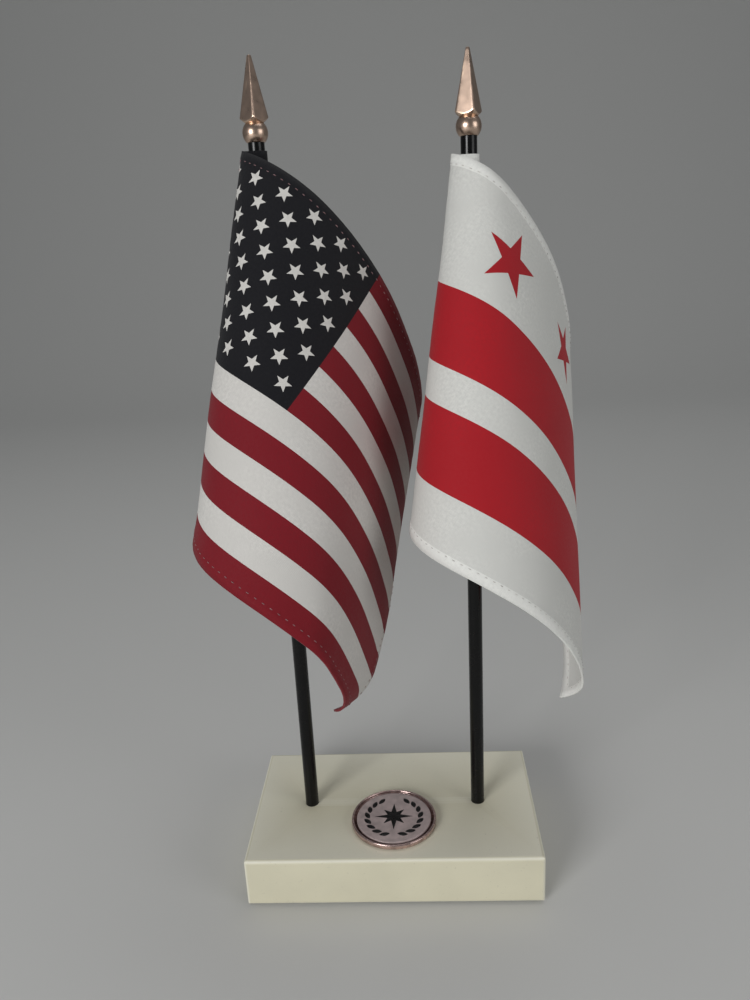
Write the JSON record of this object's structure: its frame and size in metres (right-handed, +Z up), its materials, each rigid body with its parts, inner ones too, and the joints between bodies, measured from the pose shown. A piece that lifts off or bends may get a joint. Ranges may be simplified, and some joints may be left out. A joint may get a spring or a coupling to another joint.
{
  "type": "desk flag stand",
  "caption": "Desk stand: a painted block with a round medallion holds upright staffs with spear finials and small draped cloth flags.",
  "frame": {"origin": "centre of the underside, on the surface that the stand rests on", "axes": "+Z up along the staffs, +X to the right as seen from the front, -Y towards the front"},
  "size_m": [0.117, 0.1136, 0.2679],
  "materials": {
    "painted_wood": "cream satin paint",
    "felt": "felt",
    "adhesive": "matt foam",
    "medallion_metal": "polished rose bronze",
    "medallion_relief": "aged satin metal",
    "staff_plastic": "glossy black",
    "finial_gold": "metallised champagne gold",
    "left_cloth": "printed woven cloth",
    "right_cloth": "printed woven cloth",
    "thread": "sewing thread"
  },
  "bodies": {
    "base": {"base_block": "painted_wood", "felt_pad": "felt", "medallion_adhesive": "adhesive", "medallion_rim": "medallion_metal", "medallion_face": "medallion_relief"},
    "left_staff": {"left_staff": "staff_plastic", "left_finial": "finial_gold"},
    "left_flag": {"left_flag_sleeve": "left_cloth", "left_flag_cloth": "left_cloth", "left_flag_thread": "thread"},
    "right_staff": {"right_staff": "staff_plastic", "right_finial": "finial_gold"},
    "right_flag": {"right_flag_sleeve": "right_cloth", "right_flag_cloth": "right_cloth", "right_flag_thread": "thread"}
  },
  "joints": [
    {"name": "left_staff_lift", "type": "slide", "parent": "base", "child": "left_staff", "axis": [0, 0, 1], "range_m": [0, 0.018]},
    {"name": "left_flag_turn", "type": "hinge", "parent": "left_staff", "child": "left_flag", "pos_m": [-0.0305, 0, 0.2], "axis": [0, 0, 1], "range_deg": [-20, 10]},
    {"name": "right_staff_lift", "type": "slide", "parent": "base", "child": "right_staff", "axis": [0, 0, 1], "range_m": [0, 0.018]},
    {"name": "right_flag_turn", "type": "hinge", "parent": "right_staff", "child": "right_flag", "pos_m": [0.0305, 0, 0.2], "axis": [0, 0, 1], "range_deg": [0, 30]}
  ]
}
